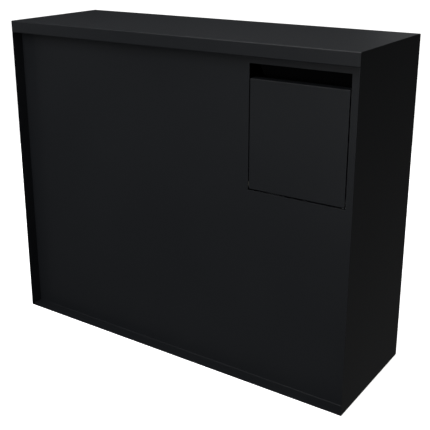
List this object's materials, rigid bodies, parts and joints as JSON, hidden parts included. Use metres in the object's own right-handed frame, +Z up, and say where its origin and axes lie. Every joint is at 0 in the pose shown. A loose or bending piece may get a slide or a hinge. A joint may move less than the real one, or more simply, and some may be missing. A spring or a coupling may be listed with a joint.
{
  "type": "parcel drop box",
  "caption": "Low wide steel parcel box with a recessed front, a tipping deposit hopper behind a flush flap with a hand slot, and lockable double doors at the back.",
  "frame": {"origin": "middle of the base plate's underside, on the floor", "axes": "+X to the right seen from the front, +Y from the front to the back, +Z up"},
  "size_m": [1.2, 0.4, 1],
  "materials": {
    "powder_black": "near-black satin powder coat, very fine texture",
    "zinc": "zinc-plated, dull bright",
    "rubber": "matt black moulded rubber",
    "nylon": "natural nylon, slightly translucent looking",
    "handle_metal": "satin chrome-plated die casting"
  },
  "bodies": {
    "cabinet": {"top_cover": "powder_black", "left_side_panel": "powder_black", "right_side_panel": "powder_black", "base_plate": "powder_black", "front_panel": "powder_black", "opening_surround": "powder_black", "roof_ribs": "powder_black", "anchor_plates": "zinc", "drop_mat": "rubber", "rear_header": "powder_black", "rear_sill": "powder_black", "left_rear_post": "powder_black", "right_rear_post": "powder_black", "centre_mullion": "powder_black", "left_door_seal": "rubber", "right_door_seal": "rubber", "bolt_keepers": "zinc", "left_axle_bracket": "zinc", "right_axle_bracket": "zinc", "bracket_nuts": "zinc", "axle_bushes": "nylon", "stop_rail": "zinc", "closing_buffers": "rubber", "opening_buffers": "rubber", "anti_fishing_baffle": "powder_black", "left_hinge_frame_leaves": "powder_black", "left_hinge_pins": "zinc", "right_hinge_frame_leaves": "powder_black", "right_hinge_pins": "zinc"},
    "hopper": {"flap": "powder_black", "left_cheek": "zinc", "right_cheek": "zinc", "hopper_tray": "zinc", "counterweight": "zinc", "hopper_axle": "zinc", "axle_collars": "zinc", "stop_lugs": "zinc"},
    "left_door": {"left_door_skin": "powder_black", "left_door_rib": "powder_black", "left_hinge_door_leaves": "powder_black", "escutcheon": "handle_metal", "escutcheon_screws": "zinc", "lock_case": "zinc", "rod_guides": "nylon"},
    "handle": {"lever_handle": "handle_metal", "lock_cam": "zinc"},
    "upper_rod": {"upper_rod": "zinc"},
    "lower_rod": {"lower_rod": "zinc"},
    "push_lock": {"push_lock": "handle_metal"},
    "right_door": {"right_door_skin": "powder_black", "right_door_rib": "powder_black", "right_hinge_door_leaves": "powder_black", "bolt_guides": "nylon"},
    "top_bolt": {"top_bolt": "zinc"},
    "bottom_bolt": {"bottom_bolt": "zinc"}
  },
  "joints": [
    {"name": "flap_tip", "type": "hinge", "parent": "cabinet", "child": "hopper", "pos_m": [0.415, -0.148, 0.5975], "axis": [1, 0, 0], "range_deg": [0, 50]},
    {"name": "left_door_swing", "type": "hinge", "parent": "cabinet", "child": "left_door", "pos_m": [-0.59, 0.17, 0.49625], "axis": [0, 0, 1], "range_deg": [0, 95]},
    {"name": "right_door_swing", "type": "hinge", "parent": "cabinet", "child": "right_door", "pos_m": [0.59, 0.17, 0.49625], "axis": [0, 0, -1], "range_deg": [0, 95]},
    {"name": "handle_turn", "type": "hinge", "parent": "left_door", "child": "handle", "pos_m": [-0.07, 0.185, 0.49625], "axis": [0, -1, 0], "range_deg": [0, 90]},
    {"name": "upper_rod_slide", "type": "slide", "parent": "left_door", "child": "upper_rod", "axis": [0, 0, 1], "range_m": [0, 0.0213]},
    {"name": "lower_rod_slide", "type": "slide", "parent": "left_door", "child": "lower_rod", "axis": [0, 0, -1], "range_m": [0, 0.0213]},
    {"name": "push_lock_press", "type": "slide", "parent": "left_door", "child": "push_lock", "axis": [0, -1, 0], "range_m": [0, 0.006]},
    {"name": "top_bolt_slide", "type": "slide", "parent": "right_door", "child": "top_bolt", "axis": [0, 0, 1], "range_m": [0, 0.02]},
    {"name": "bottom_bolt_slide", "type": "slide", "parent": "right_door", "child": "bottom_bolt", "axis": [0, 0, -1], "range_m": [0, 0.02]}
  ],
  "couplings": [
    {"joint": "upper_rod_slide", "follows": "handle_turn", "m_per_rad": 0.013505},
    {"joint": "lower_rod_slide", "follows": "handle_turn", "m_per_rad": 0.013505}
  ]
}
